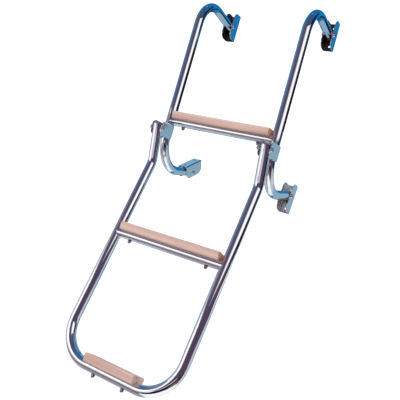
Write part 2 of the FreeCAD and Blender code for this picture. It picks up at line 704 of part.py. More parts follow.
upper_screws, upper_bores = tread_screws("upper_tread_screws", "0", "sizes.screw_spacing")
upper_pieces = [upper_screws,
                tread("upper_tread", "0", LONG_TREAD, upper_bores),
                coped_rung("upper_rung", "0", upper_bores)]
for piece in upper_pieces:
    place_on_upper_frame(piece, HALF_SPACING)
kept += upper_pieces

middle = "(-%s)" % MIDDLE_RUNG
bottom = "(-%s)" % BOTTOM_RUNG
middle_screws, middle_bores = tread_screws("middle_tread_screws", middle,
                                           "sizes.screw_spacing")
bottom_screws, bottom_bores = tread_screws("bottom_tread_screws", bottom,
                                           "sizes.short_screw_spacing")
lower_pieces = [middle_screws, bottom_screws,
                tread("middle_tread", middle, LONG_TREAD, middle_bores),
                tread("bottom_tread", bottom, "sizes.short_tread_length", bottom_bores),
                coped_rung("middle_rung", middle, middle_bores),
                cut("lower_frame_tube", lower_frame_body(), bottom_bores)]
for piece in lower_pieces:
    place_on_lower_frame(piece)
kept += lower_pieces

TOP_BOLT_Y = "(-sizes.face_to_bolt)"
TOP_BOLT_Z = "(-sizes.bolt_offset)"
LOW_BOLT_Y = "(%s + %s)" % (RAIL_Y, STANDOFF_BOLT_Y)
LOW_BOLT_Z = "(%s + %s)" % (RUNG_Z, STANDOFF_BOLT_Z)
BRACKETS = [
    ("top_left", "0", TOP_BOLT_Y, TOP_BOLT_Z, "sizes.bolt_offset", "0"),
    ("top_right", "sizes.rail_spacing", TOP_BOLT_Y, TOP_BOLT_Z, "sizes.bolt_offset", "0"),
    ("bottom_left", "0", LOW_BOLT_Y, LOW_BOLT_Z, "(-sizes.bolt_offset)", "sizes.left_swing_angle"),
    ("bottom_right", "sizes.rail_spacing", LOW_BOLT_Y, LOW_BOLT_Z, "(-sizes.bolt_offset)",
     "sizes.right_swing_angle"),
]
for corner, x, y, z, offset, swing in BRACKETS:
    for piece in (mounting_bracket(corner + "_bracket", offset),
                  bolt(corner + "_bracket_bolt", HALF_BRACKET),
                  cap_nut(corner + "_bracket_nut", HALF_BRACKET)):
        place(piece, x, y, z, swing)
        kept.append(piece)

doc.recompute()

# Check every object and write the pieces

for item in doc.Objects:
    if "Invalid" in item.State or "Error" in item.State:
        raise RuntimeError("%s is not built: %s" % (item.Name, item.State))

os.makedirs("parts", exist_ok=True)
for piece in kept:
    shape = piece.Shape
    if shape.isNull() or not shape.isValid() or shape.Volume <= 0:
        raise RuntimeError("%s has no valid shape" % piece.Label)
    shape.exportStep("parts/%s.step" % piece.Label)
    box = shape.optimalBoundingBox(True)
    print("%-26s %d solids  %9.1f mm3  x %.1f %.1f  y %.1f %.1f  z %.1f %.1f" % (
        piece.Label, len(shape.Solids), shape.Volume,
        box.XMin, box.XMax, box.YMin, box.YMax, box.ZMin, box.ZMax))
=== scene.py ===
import json
import bmesh
import bpy
import numpy as np
from math import atan2, cos, pi, radians, sin, tan
from mathutils import Matrix, Vector

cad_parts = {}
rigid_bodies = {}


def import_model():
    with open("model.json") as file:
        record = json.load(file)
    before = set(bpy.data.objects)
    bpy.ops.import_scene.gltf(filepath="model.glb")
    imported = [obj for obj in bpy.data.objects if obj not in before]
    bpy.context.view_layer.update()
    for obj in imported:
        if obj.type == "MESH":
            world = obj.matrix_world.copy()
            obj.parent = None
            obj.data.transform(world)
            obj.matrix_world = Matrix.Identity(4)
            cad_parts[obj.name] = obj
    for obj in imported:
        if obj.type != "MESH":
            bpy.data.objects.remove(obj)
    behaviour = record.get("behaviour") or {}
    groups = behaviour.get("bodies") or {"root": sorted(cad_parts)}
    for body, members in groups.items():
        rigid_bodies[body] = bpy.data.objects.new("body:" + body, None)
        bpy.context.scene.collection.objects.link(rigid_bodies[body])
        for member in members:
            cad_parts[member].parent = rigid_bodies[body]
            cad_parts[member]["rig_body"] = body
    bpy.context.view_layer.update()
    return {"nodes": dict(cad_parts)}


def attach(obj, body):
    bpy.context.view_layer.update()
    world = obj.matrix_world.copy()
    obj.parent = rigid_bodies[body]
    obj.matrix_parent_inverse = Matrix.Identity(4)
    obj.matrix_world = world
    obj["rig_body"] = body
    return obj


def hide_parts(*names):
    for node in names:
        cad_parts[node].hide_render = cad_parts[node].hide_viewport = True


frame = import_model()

# Upper rails: two stainless tubes, each bent to a hook at the top and a standoff at the foot, with
# both ends left open inside their brackets. The metal is polished, with faint draw lines along it.

TUBE_RADIUS = 0.0111
TUBE_WALL = 0.0015
RAIL_SPACING = 0.282
RAIL_Y = -0.171424
RUNG_Z = -0.314647
HOOK_REACH = 0.076
HOOK_RADIUS = 0.0644
HOOK_ANGLE = radians(95.2)
RUNG_TO_HOOK = 0.2544
RUNG_TO_STANDOFF = 0.035
STANDOFF_RADIUS = 0.0752
STANDOFF_ANGLE = radians(99.2)
STANDOFF_REACH = 0.0656
TUBE_PAST_BOLT = 0.010


def turn_about(axis, angles):
    """Rotation matrices about a unit axis, by Rodrigues' formula: I + sin a K + (1 - cos a) K K."""
    x, y, z = axis
    cross = np.array([[0, -z, y], [z, 0, -x], [-y, x, 0]])
    s, c = np.sin(angles)[:, None, None], np.cos(angles)[:, None, None]
    return np.eye(3) + s * cross + (1 - c) * (cross @ cross)


def bent_route(start, heading, across, steps):
    """Points along straights and arcs, with two unit vectors square to the route at each.

    An arc of radius R about the axis k turns the heading t: its points are centre + turn(start -
    centre), with the centre at R (k x t) from the start, and both vectors turn with it.
    """
    point, t, first = np.array(start, float), np.array(heading, float), np.array(across, float)
    points, firsts, seconds = [], [], []
    for step in steps:
        if step[0] == "straight":
            share = np.linspace(0, 1, step[2])[:, None]
            run = point + share * step[1] * t
            a = np.repeat(first[None], step[2], 0)
            b = np.repeat(np.cross(t, first)[None], step[2], 0)
        else:
            _, radius, angle, axis, count = step
            axis = np.array(axis, float) * np.sign(angle)
            turns = turn_about(axis, np.linspace(0, abs(angle), count))
            centre = point + radius * np.cross(axis, t)
            run = centre + turns @ (point - centre)
            a = turns @ first
            b = turns @ np.cross(t, first)
            t, first = turns[-1] @ t, turns[-1] @ first
        skip = 1 if points else 0
        points.append(run[skip:])
        firsts.append(a[skip:])
        seconds.append(b[skip:])
        point = run[-1]
    return np.concatenate(points), np.concatenate(firsts), np.concatenate(seconds)


def ring_grid(route, radii, sides=48):
    """Grid of route point + r (cos a first + sin a second), for one r at each point of the route."""
    points, first, second = route
    a = np.linspace(0, 2 * pi, sides, endpoint=False)[None, :, None]
    ring = np.cos(a) * first[:, None] + np.sin(a) * second[:, None]
    return points[:, None] + np.broadcast_to(radii, len(points))[:, None, None] * ring


def grid_faces(rows, columns, loop_rows=False, loop_columns=True):
    """Four-sided faces over a grid of points; a looped side joins its last row to its first."""
    index = np.arange(rows * columns).reshape(rows, columns)
    if loop_rows:
        index = np.concatenate([index, index[:1]], 0)
    if loop_columns:
        index = np.concatenate([index, index[:, :1]], 1)
    corners = [index[:-1, :-1], index[:-1, 1:], index[1:, 1:], index[1:, :-1]]
    return np.stack(corners, -1).reshape(-1, 4)


def make_piece(name, grids, body, material, stands_for=(), sharp=35):
    """One mesh object from a list of (points, faces), with its normals turned outwards."""
    points, faces, base = [], [], 0
    for grid, grid_face in grids:
        flat = np.asarray(grid, float).reshape(-1, 3)
        points.append(flat)
        faces.extend([[int(i) + base for i in face] for face in grid_face])
        base += len(flat)
    mesh = bpy.data.meshes.new(name)
    mesh.from_pydata(np.concatenate(points).tolist(), [], faces)
    mesh.validate()
    work = bmesh.new()
    work.from_mesh(mesh)
    bmesh.ops.remove_doubles(work, verts=work.verts, dist=1e-6)
    bmesh.ops.recalc_face_normals(work, faces=work.faces)
    work.to_mesh(mesh)
    work.free()
    mesh.shade_smooth()
    mesh.set_sharp_from_angle(angle=radians(sharp))
    piece = bpy.data.objects.new(name, mesh)
    bpy.context.scene.collection.objects.link(piece)
    mesh.materials.append(material)
    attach(piece, body)
    if stands_for:
        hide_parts(*stands_for)
    return piece


def node_tree(name):
    """A new material with its node tree, principled shader and a short way to add and join nodes."""
    material = bpy.data.materials.new(name)
    material.use_nodes = True
    tree = material.node_tree
    shader = tree.nodes["Principled BSDF"]

    def add(kind, **settings):
        node = tree.nodes.new(kind)
        for key, value in settings.items():
            if key in node.inputs:
                node.inputs[key].default_value = value
            else:
                setattr(node, key, value)
        return node

    return material, shader, add, tree.links.new


def steel(name, colour, dark, roughness, spread, stretch, bump):
    """Stainless steel: cloudy roughness, fine lines along one way and a slight change of tone."""
    material, shader, add, join = node_tree(name)
    shader.inputs["Metallic"].default_value = 1.0
    place = add("ShaderNodeTexCoord")
    scale = add("ShaderNodeMapping")
    scale.inputs["Scale"].default_value = stretch
    join(place.outputs["Object"], scale.inputs["Vector"])
    lines = add("ShaderNodeTexNoise", Scale=1.0, Detail=5.0, Roughness=0.65)
    join(scale.outputs["Vector"], lines.inputs["Vector"])
    cloud = add("ShaderNodeTexNoise", Scale=38.0, Detail=3.0, Roughness=0.55)
    join(place.outputs["Object"], cloud.inputs["Vector"])
    tone = add("ShaderNodeMix", data_type="RGBA")
    tone.inputs["A"].default_value = (*dark, 1)
    tone.inputs["B"].default_value = (*colour, 1)
    join(cloud.outputs["Fac"], tone.inputs["Factor"])
    join(tone.outputs["Result"], shader.inputs["Base Color"])
    rough = add("ShaderNodeMapRange")
    rough.inputs["To Min"].default_value = roughness
    rough.inputs["To Max"].default_value = roughness + spread
    join(lines.outputs["Fac"], rough.inputs["Value"])
    join(rough.outputs["Result"], shader.inputs["Roughness"])
    relief = add("ShaderNodeBump", Strength=bump, Distance=0.0002)
    join(lines.outputs["Fac"], relief.inputs["Height"])
    join(relief.outputs["Normal"], shader.inputs["Normal"])
    return material


# Its colour is steel grey with a faint blue tint, which is painted reflection of the blue surroundings.
tube_steel = steel("polished_tube", (0.80, 0.83, 0.86), (0.72, 0.75, 0.79),
                   0.03, 0.06, (700.0, 700.0, 30.0), 0.01)


def open_tube(route):
    """Closed shell of a tube: out along its outside, over the end and back along its bore."""
    outside = ring_grid(route, TUBE_RADIUS)
    bore = ring_grid(route, TUBE_RADIUS - TUBE_WALL)[::-1]
    shell = np.concatenate([outside, bore])
    return shell, grid_faces(shell.shape[0], shell.shape[1], loop_rows=True)


for side, rail_x in (("left", 0.0), ("right", RAIL_SPACING)):
    standoff_y = RAIL_Y + STANDOFF_RADIUS * (1 - cos(STANDOFF_ANGLE)) \
        + (STANDOFF_REACH + TUBE_PAST_BOLT) * sin(STANDOFF_ANGLE)
    standoff_z = RUNG_Z - RUNG_TO_STANDOFF - STANDOFF_RADIUS * sin(STANDOFF_ANGLE) \
        - (STANDOFF_REACH + TUBE_PAST_BOLT) * cos(STANDOFF_ANGLE)
    rail_route = bent_route(
        (rail_x, standoff_y, standoff_z), (0, -sin(STANDOFF_ANGLE), cos(STANDOFF_ANGLE)), (1, 0, 0),
        [("straight", STANDOFF_REACH + TUBE_PAST_BOLT, 12),
         ("bend", STANDOFF_RADIUS, -STANDOFF_ANGLE, (1, 0, 0), 60),
         ("straight", RUNG_TO_STANDOFF + RUNG_TO_HOOK, 40),
         ("bend", HOOK_RADIUS, -HOOK_ANGLE, (1, 0, 0), 60),
         ("straight", HOOK_REACH + TUBE_PAST_BOLT, 12)])
    make_piece(side + "_rail", [open_tube(rail_route)], "upper_frame",
               tube_steel, [side + "_upper_rail"])

# Lower frame: one longer tube bent to a U, its legs cranked back below the hinge bolts so that the
# steps stand out under the swimmer. Same tube and finish as the rails.

CRANK_Y = -0.197243
CRANK_Z = -0.425130
CRANK_LEAN = radians(13.0)
LEG_LEAN = radians(17.0)
CRANK_RADIUS = 0.045
CRANK_LENGTH = 0.0826
LEG_ABOVE_PIN = 0.0104
CORNER_RADIUS = 0.077
MIDDLE_RUNG = 0.1858
BOTTOM_RUNG = 0.4660


def on_lower_frame(points):
    """Points of the lower frame's own axes, turned about X by the legs' lean and moved to the crank."""
    points = np.asarray(points, float)
    y = points[..., 1] * cos(LEG_LEAN) + points[..., 2] * sin(LEG_LEAN)
    z = points[..., 2] * cos(LEG_LEAN) - points[..., 1] * sin(LEG_LEAN)
    return np.stack([points[..., 0] + RAIL_SPACING / 2, y + CRANK_Y, z + CRANK_Z], -1)


crank_turn = CRANK_LEAN + LEG_LEAN
crank_tangent = CRANK_RADIUS * tan(crank_turn / 2)
crank_run = CRANK_LENGTH - crank_tangent + LEG_ABOVE_PIN
leg_run = BOTTOM_RUNG - CORNER_RADIUS - crank_tangent
leg_top = CRANK_LENGTH + LEG_ABOVE_PIN
frame_route = bent_route(
    (-RAIL_SPACING / 2, -leg_top * sin(crank_turn), leg_top * cos(crank_turn)),
    (0, sin(crank_turn), -cos(crank_turn)), (1, 0, 0),
    [("straight", crank_run, 12),
     ("bend", CRANK_RADIUS, -crank_turn, (1, 0, 0), 24),
     ("straight", leg_run, 50),
     ("bend", CORNER_RADIUS, -pi / 2, (0, 1, 0), 60),
     ("straight", RAIL_SPACING - 2 * CORNER_RADIUS, 20),
     ("bend", CORNER_RADIUS, -pi / 2, (0, 1, 0), 60),
     ("straight", leg_run, 50),
     ("bend", CRANK_RADIUS, crank_turn, (1, 0, 0), 24),
     ("straight", crank_run, 12)])
frame_shell, frame_faces = open_tube(frame_route)
make_piece("lower_tube", [(on_lower_frame(frame_shell), frame_faces)], "lower_frame",
           tube_steel, ["lower_frame_tube"])

# Rungs: short lengths of the same tube, notched at both ends to sit against the rails and welded
# there all round. The beads show as small ripples of duller metal.

WELD_RADIUS = 0.0013
WELD_SWELL = 0.12
WELD_RIPPLES = 30

# Its colour is steel grey with a faint blue tint, which is painted reflection of the blue surroundings.
rung_steel = steel("polished_rung", (0.80, 0.83, 0.86), (0.72, 0.75, 0.79),
                   0.03, 0.06, (30.0, 700.0, 700.0), 0.01)
weld_steel = steel("weld_bead", (0.62, 0.60, 0.58), (0.42, 0.40, 0.42),
                   0.22, 0.2, (900.0, 900.0, 900.0), 0.3)


def notch(y):
    """Half a rung's length at y off its middle, so that it ends on the rail: S/2 - sqrt(R^2 - y^2)."""
    return RAIL_SPACING / 2 - np.sqrt(np.maximum(TUBE_RADIUS ** 2 - y ** 2, 0))


def notched_rung(sides=64, lengthwise=60):
    """Tube along X that reaches as far as its notches each way, at every angle round it."""
    a = np.linspace(0, 2 * pi, sides, endpoint=False)
    y, z = TUBE_RADIUS * np.cos(a), TUBE_RADIUS * np.sin(a)
    share = np.linspace(-1, 1, lengthwise)[:, None]
    grid = np.stack([share * notch(y), share * 0 + y, share * 0 + z], -1)
    return grid, grid_faces(lengthwise, sides)


def weld_bead(end, sides=96, around=12):
    """Ripple of metal along the notch: a circle of radius w (1 + swell sin(ripples a)) round it."""
    a = np.linspace(0, 2 * pi, sides, endpoint=False)[:, None]
    b = np.linspace(0, 2 * pi, around, endpoint=False)[None]
    y, z = TUBE_RADIUS * np.cos(a), TUBE_RADIUS * np.sin(a)
    width = WELD_RADIUS * (1 + WELD_SWELL * np.sin(WELD_RIPPLES * a))
    out = width * np.cos(b)
    x = end * (notch(y) - width * np.sin(b))
    grid = np.stack([x, y + out * np.cos(a), z + out * np.sin(a)], -1)
    return grid, grid_faces(sides, around, loop_rows=True)


def on_upper_frame(points):
    """Points measured from the middle of the upper rung."""
    return np.asarray(points, float) + np.array([RAIL_SPACING / 2, RAIL_Y, RUNG_Z])


def at_middle_rung(points):
    """Points measured from the middle of the middle rung, in the lower frame's lean."""
    return on_lower_frame(np.asarray(points, float) - np.array([0, 0, MIDDLE_RUNG]))


rung, rung_faces = notched_rung()
beads = [weld_bead(-1), weld_bead(1)]
for level, body, seat in (("upper", "upper_frame", on_upper_frame),
                          ("middle", "lower_frame", at_middle_rung)):
    make_piece(level + "_rung_tube", [(seat(rung), rung_faces)], body,
               rung_steel, [level + "_rung"])
    make_piece(level + "_rung_welds", [(seat(grid), faces) for grid, faces in beads], body,
               weld_steel)

# Treads: hardwood boards with a sloped front and back, eased edges and a groove below that sits
# over the rung. The grain runs lengthwise; the sawn ends are mottled, and darker on the long ones.

TREAD_COVER = 0.011
TREAD_THICKNESS = 0.018
TREAD_TOP = 0.025
TREAD_FOOT = 0.0195
TREAD_GAP = 0.0029
TREAD_ROUND = 0.0045
SHORT_TREAD = 0.124
GROOVE_PLAY = 0.0001


def wood(name, light, mid, dark, stretch):
    """Oiled hardwood: fine noise for the grain, mixed with wide soft bands, from dark to light."""
    material, shader, add, join = node_tree(name)
    place = add("ShaderNodeTexCoord")
    along = add("ShaderNodeMapping")
    along.inputs["Scale"].default_value = stretch
    join(place.outputs["Object"], along.inputs["Vector"])
    grain = add("ShaderNodeTexNoise", Scale=1.0, Detail=6.0, Roughness=0.6, Distortion=0.6)
    join(along.outputs["Vector"], grain.inputs["Vector"])
    wide = add("ShaderNodeMapping")
    wide.inputs["Scale"].default_value = (3.0, 60.0, 60.0)
    join(place.outputs["Object"], wide.inputs["Vector"])
    bands = add("ShaderNodeTexNoise", Scale=1.0, Detail=2.0, Roughness=0.5)
    join(wide.outputs["Vector"], bands.inputs["Vector"])
    both = add("ShaderNodeMix", data_type="FLOAT")
    both.inputs["Factor"].default_value = 0.45
    join(grain.outputs["Fac"], both.inputs["A"])
    join(bands.outputs["Fac"], both.inputs["B"])
    ramp = add("ShaderNodeValToRGB")
    ramp.color_ramp.elements[0].position = 0.32
    ramp.color_ramp.elements[0].color = (*dark, 1)
    ramp.color_ramp.elements[1].position = 0.68
    ramp.color_ramp.elements[1].color = (*light, 1)
    between = ramp.color_ramp.elements.new(0.5)
    between.color = (*mid, 1)
    join(both.outputs["Result"], ramp.inputs["Fac"])
    join(ramp.outputs["Color"], shader.inputs["Base Color"])
    shader.inputs["Roughness"].default_value = 0.55
    relief = add("ShaderNodeBump", Strength=0.12, Distance=0.0004)
    join(grain.outputs["Fac"], relief.inputs["Height"])
    join(relief.outputs["Normal"], shader.inputs["Normal"])
    return material


LONG_GRAIN = (9.0, 330.0, 330.0)
END_GRAIN = (40.0, 160.0, 160.0)
tread_wood = wood("tread_wood", (0.76, 0.545, 0.48), (0.645, 0.42, 0.36), (0.45, 0.265, 0.21),
                  LONG_GRAIN)
end_wood = wood("tread_end_grain", (0.74, 0.40, 0.29), (0.60, 0.28, 0.20), (0.38, 0.14, 0.09),
                END_GRAIN)
pale_end_wood = wood("pale_end_grain", (0.72, 0.50, 0.41), (0.60, 0.40, 0.32), (0.42, 0.25, 0.19),
                     END_GRAIN)


def corner_arc(before, corner, after, radius, count=8):
    """Points of the arc that eases one corner of a flat outline.

    With h half the corner's angle, the centre lies r / sin h along its bisector, and the arc turns
    by w = pi - 2 h between its ends: (sin((1 - s) w) start + sin(s w) end) / sin w.
    """
    to_before = (before - corner) / np.linalg.norm(before - corner)
    to_after = (after - corner) / np.linalg.norm(after - corner)
    half = np.arccos(np.clip(to_before @ to_after, -1, 1)) / 2
    middle = to_before + to_after
    centre = corner + radius / np.sin(half) * middle / np.linalg.norm(middle)
    start = corner + to_before * radius / np.tan(half) - centre
    end = corner + to_after * radius / np.tan(half) - centre
    sweep = pi - 2 * half
    share = np.linspace(0, 1, count)[:, None]
    return centre + (np.sin((1 - share) * sweep) * start + np.sin(share * sweep) * end) / np.sin(sweep)


def tread_outline():
    """Section across a tread, front to back and up from the rung's axis: six corners, four of them
    eased by arcs, and an arc of the rung's radius for the groove."""
    foot = TUBE_RADIUS + TREAD_COVER - TREAD_THICKNESS
    top = TUBE_RADIUS + TREAD_COVER
    seat = TUBE_RADIUS + GROOVE_PLAY
    edge = np.sqrt(seat ** 2 - foot ** 2)
    corners = np.array([[-TREAD_FOOT, foot], [-TREAD_TOP, top], [TREAD_TOP, top],
                        [TREAD_FOOT, foot], [edge, foot], [-edge, foot]])
    eased = [corner_arc(corners[i - 1], corners[i], corners[i + 1], TREAD_ROUND) for i in range(4)]
    a = np.linspace(atan2(foot, edge), pi - atan2(foot, edge), 25)[:, None]
    groove = seat * np.concatenate([np.cos(a), np.sin(a)], 1)
    return np.concatenate(eased + [groove])


def grooved_tread(length, rows=60):
    """The outline carried along X, closed by one flat face at each end."""
    outline = tread_outline()
    x = np.linspace(-length / 2, length / 2, rows)
    grid = np.concatenate([
        np.broadcast_to(x[:, None, None], (rows, len(outline), 1)),
        np.broadcast_to(outline[None], (rows, len(outline), 2))], -1)
    faces = grid_faces(rows, len(outline)).tolist()
    count = len(outline)
    faces.append(list(range(count)))
    faces.append(list(range(rows * count - 1, (rows - 1) * count - 1, -1)))
    return grid, faces


def at_bottom_rung(points):
    """Points measured from the middle of the bottom rung, in the lower frame's lean."""
    return on_lower_frame(np.asarray(points, float) - np.array([0, 0, BOTTOM_RUNG]))


long_tread = RAIL_SPACING - 2 * TUBE_RADIUS - 2 * TREAD_GAP
for level, body, seat, length in (("upper", "upper_frame", on_upper_frame, long_tread),
                                  ("middle", "lower_frame", at_middle_rung, long_tread),
                                  ("bottom", "lower_frame", at_bottom_rung, SHORT_TREAD)):
    grid, faces = grooved_tread(length)
    tread = make_piece(level + "_board", [(seat(grid), faces)], body,
                       tread_wood, [level + "_tread"], sharp=50)
    tread.data.materials.append(pale_end_wood if level == "bottom" else end_wood)
    for face in tread.data.polygons:
        if abs(face.normal.x) > 0.9:
            face.material_index = 1
    ease = tread.modifiers.new("eased_ends", "BEVEL")
    ease.width = 0.0007
    ease.segments = 3
    ease.limit_method = "ANGLE"
    ease.angle_limit = radians(50)

# Brackets: four channels folded from sheet and two hinge brackets of plate, all satin. Each keeps its
# own solid, with the facets of its bends and edges smoothed. The channels' insides carry painted shade,
# near black and dull; the bottom right one has a lighter mottle of painted light there instead.

SWING = {"left": radians(118.0), "right": radians(-10.0)}
INNER_FACES = 0.0119

# Its colour is steel grey with a blue tint, which is painted reflection of the blue surroundings.
plate_steel = steel("satin_plate", (0.74, 0.79, 0.83), (0.66, 0.72, 0.78),
                    0.16, 0.10, (60.0, 400.0, 400.0), 0.03)
# Painted shade: a near-black mottled colour for the faces inside the channels, where shade falls.
painted_shade_steel = steel("painted_shade_inside", (0.34, 0.25, 0.23), (0.05, 0.04, 0.05),
                     0.26, 0.20, (90.0, 90.0, 90.0), 0.1)
# Painted light: a lighter copy of the inside shade, mottled from near white to dark, for inside the
# bottom right channel.
painted_lit_inside_steel = steel("painted_lit_inside", (0.98, 0.93, 0.91), (0.24, 0.18, 0.18),
                   0.26, 0.20, (90.0, 90.0, 90.0), 0.1)


def smoothed(node, material, name):
    """The node's own solid with its corners joined and its facets smoothed; returns the piece."""
    source = frame["nodes"][node]
    mesh = source.data.copy()
    work = bmesh.new()
    work.from_mesh(mesh)
    bmesh.ops.remove_doubles(work, verts=work.verts, dist=1e-6)
    bmesh.ops.dissolve_limit(work, angle_limit=radians(0.5), verts=work.verts, edges=work.edges)
    work.to_mesh(mesh)
    work.free()
    mesh.name = name
    mesh.shade_smooth()
    mesh.set_sharp_from_angle(angle=radians(30))
    mesh.materials.clear()
    mesh.materials.append(material)
    piece = bpy.data.objects.new(name, mesh)
    bpy.context.scene.collection.objects.link(piece)
    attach(piece, source["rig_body"])
    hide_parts(node)
    return piece


for node in sorted(frame["nodes"]):
    if not node.endswith("_bracket"):
        continue
    plate = smoothed(node, plate_steel, node + "_plate")
    if "hinge" in node:
        continue
    # The bottom right channel gets the painted light on its inner ear faces instead of the painted
    # shade, and none on its web.
    lit_inside = node == "bottom_right_bracket"
    plate.data.materials.append(painted_lit_inside_steel if lit_inside else painted_shade_steel)
    side = "left" if "left" in node else "right"
    middle_x = 0.0 if side == "left" else RAIL_SPACING
    swing = SWING[side] if "bottom" in node else 0.0
    to_boat = Vector((0, cos(swing), sin(swing)))
    # Faces inside the channel, on the ears and the web, get the painted shade.
    for face in plate.data.polygons:
        within = abs(face.center.x - middle_x) < INNER_FACES
        web = face.normal.dot(to_boat) < -0.3 and not lit_inside
        if within and (web or abs(face.normal.x) > 0.3):
            face.material_index = 1

# Bolts and cap nuts: button heads with a hexagon socket on the right of each pair of ears, low
# domed nuts on the left. They hold the hinges and the four mounting brackets.

PIN_Y = -0.215824
PIN_Z = -0.344647
LOW_BOLT_Y = -0.019445
LOW_BOLT_Z = -0.413391
TOP_BOLT_Y = -0.0255
TOP_BOLT_Z = -0.003
HINGE_GRIP = 0.0145
BRACKET_GRIP = 0.0133
SHANK_RADIUS = 0.003
HEAD_RADIUS = 0.0055
HEAD_RIM = 0.0007
HEAD_HEIGHT = 0.0036
SOCKET_WIDTH = 0.004
SOCKET_DEPTH = 0.0022
NUT_WIDTH = 0.0100
NUT_CORNER = 0.0058
NUT_HEIGHT = 0.0034
NUT_DOME = 0.0020
UNCUT = 1.0

bolt_steel = steel("bolt_metal", (0.72, 0.72, 0.73), (0.55, 0.55, 0.58),
                   0.16, 0.14, (300.0, 300.0, 300.0), 0.05)


def turned_part(rows, sides=48, turn=0.0):
    """Rings along an axis: at (x, r, w) the radius is min(r, w / (2 cos b)), b to the nearest flat.

    A row with w of None is a plain circle; the others are hexagons w across their flats, with
    corners cut back to r, or whole where r is UNCUT. The whole part is turned about its axis.
    """
    a = np.linspace(0, 2 * pi, sides, endpoint=False)
    to_flat = a % (pi / 3) - pi / 6
    rings = []
    for x, r, w in rows:
        radius = np.full(sides, r) if w is None else np.minimum(r, w / 2 / np.cos(to_flat))
        y, z = radius * np.cos(a + turn), radius * np.sin(a + turn)
        rings.append(np.stack([np.full(sides, x), y, z], -1))
    return np.stack(rings), grid_faces(len(rows), sides)


def dome_rows(start, height, base, top, count=7):
    """Circles from radius base to radius top along a quarter of an ellipse of the given height."""
    share = np.linspace(0, 1, count)
    radii = top + (base - top) * np.cos(share * pi / 2)
    return [(start + height * np.sin(t * pi / 2), r, None) for t, r in zip(share, radii)]


def socket_rows(top, width, depth):
    """A hexagon socket sunk from a flat top, with a shallow cone for its floor."""
    return [(top, UNCUT, width), (top - depth, UNCUT, width), (top - depth - width / 6, 0.0, None)]


def bolt_rows(grip):
    """Shank, button head and socket, from the shank's end in the nut to the socket's floor."""
    end = -(grip + NUT_HEIGHT)
    return [(end, 0.0, None), (end, SHANK_RADIUS, None),
            (grip, SHANK_RADIUS, None), (grip, HEAD_RADIUS, None),
            (grip + HEAD_RIM - 0.0002, HEAD_RADIUS, None),
            *dome_rows(grip + HEAD_RIM, HEAD_HEIGHT - HEAD_RIM, HEAD_RADIUS - 0.0001, 0.0030),
            *socket_rows(grip + HEAD_HEIGHT, SOCKET_WIDTH, SOCKET_DEPTH)]


def nut_rows(grip):
    """Blind bore, washer face, hexagon with bevelled corners and low dome, towards -X."""
    rows = [(NUT_HEIGHT, 0.0, None), (NUT_HEIGHT, SHANK_RADIUS, None), (0.0, SHANK_RADIUS, None),
            (0.0, 0.0051, NUT_WIDTH), (0.0005, NUT_CORNER, NUT_WIDTH),
            (NUT_HEIGHT - 0.0005, NUT_CORNER, NUT_WIDTH), (NUT_HEIGHT, 0.0050, NUT_WIDTH),
            *dome_rows(NUT_HEIGHT, NUT_DOME, 0.0044, 0.0008), (NUT_HEIGHT + NUT_DOME, 0.0, None)]
    return [(-grip - x, r, w) for x, r, w in rows]


for side, x in (("left", 0.0), ("right", RAIL_SPACING)):
    top, low = "top_%s_bracket" % side, "bottom_%s_bracket" % side
    for name, body, y, z, turn, grip in (
            (side + "_hinge", "upper_frame", PIN_Y, PIN_Z, 0.0, HINGE_GRIP),
            (top, top, TOP_BOLT_Y, TOP_BOLT_Z, 0.0, BRACKET_GRIP),
            (low, low, LOW_BOLT_Y, LOW_BOLT_Z, SWING[side], BRACKET_GRIP)):
        for kind, rows in (("bolt", bolt_rows(grip)), ("nut", nut_rows(grip))):
            grid, faces = turned_part(rows, turn=turn)
            make_piece("%s_%s_metal" % (name, kind), [(grid + np.array([x, y, z]), faces)], body,
                       bolt_steel, ["%s_%s" % (name, kind)])

# Tread screws: flat countersunk heads with a small socket, flush with the wood, and a cap nut up
# against the underside of each rung. Duller and browner than the other metal.

SCREW_RADIUS = 0.0024
SCREW_HEAD = 0.0045
SCREW_HEAD_HEIGHT = 0.0021
SCREW_SOCKET = 0.003
SCREW_NUT_WIDTH = 0.0080
SCREW_NUT_HEIGHT = 0.004
SCREW_NUT_DOME = 0.0030
LONG_TREAD_SCREWS = 0.200
SHORT_TREAD_SCREWS = 0.075

screw_steel = steel("screw_metal", (0.42, 0.38, 0.40), (0.24, 0.21, 0.24),
                    0.22, 0.16, (300.0, 300.0, 300.0), 0.05)


def screw_rows():
    """Up the axis, measured from the rung's axis: dome, hexagon, shank, head and its socket."""
    nut_top = -TUBE_RADIUS
    foot = nut_top - SCREW_NUT_HEIGHT
    head = TUBE_RADIUS + TREAD_COVER
    proud = head + 0.00015
    socket_floor = head + 0.00004
    dome = [(2 * foot - x, r, w) for x, r, w in dome_rows(foot, SCREW_NUT_DOME, 0.0036, 0.0006)]
    return [(foot - SCREW_NUT_DOME, 0.0, None), *dome[::-1],
            (foot, 0.0041, SCREW_NUT_WIDTH), (foot + 0.0004, 0.0047, SCREW_NUT_WIDTH),
            (nut_top - 0.0004, 0.0047, SCREW_NUT_WIDTH), (nut_top, 0.0041, SCREW_NUT_WIDTH),
            (nut_top, SCREW_RADIUS, None), (head - SCREW_HEAD_HEIGHT, SCREW_RADIUS, None),
            (head, SCREW_HEAD, None), (proud, SCREW_HEAD - 0.0002, None),
            (proud, UNCUT, SCREW_SOCKET), (socket_floor, UNCUT, SCREW_SOCKET),
            (socket_floor, 0.0, None)]


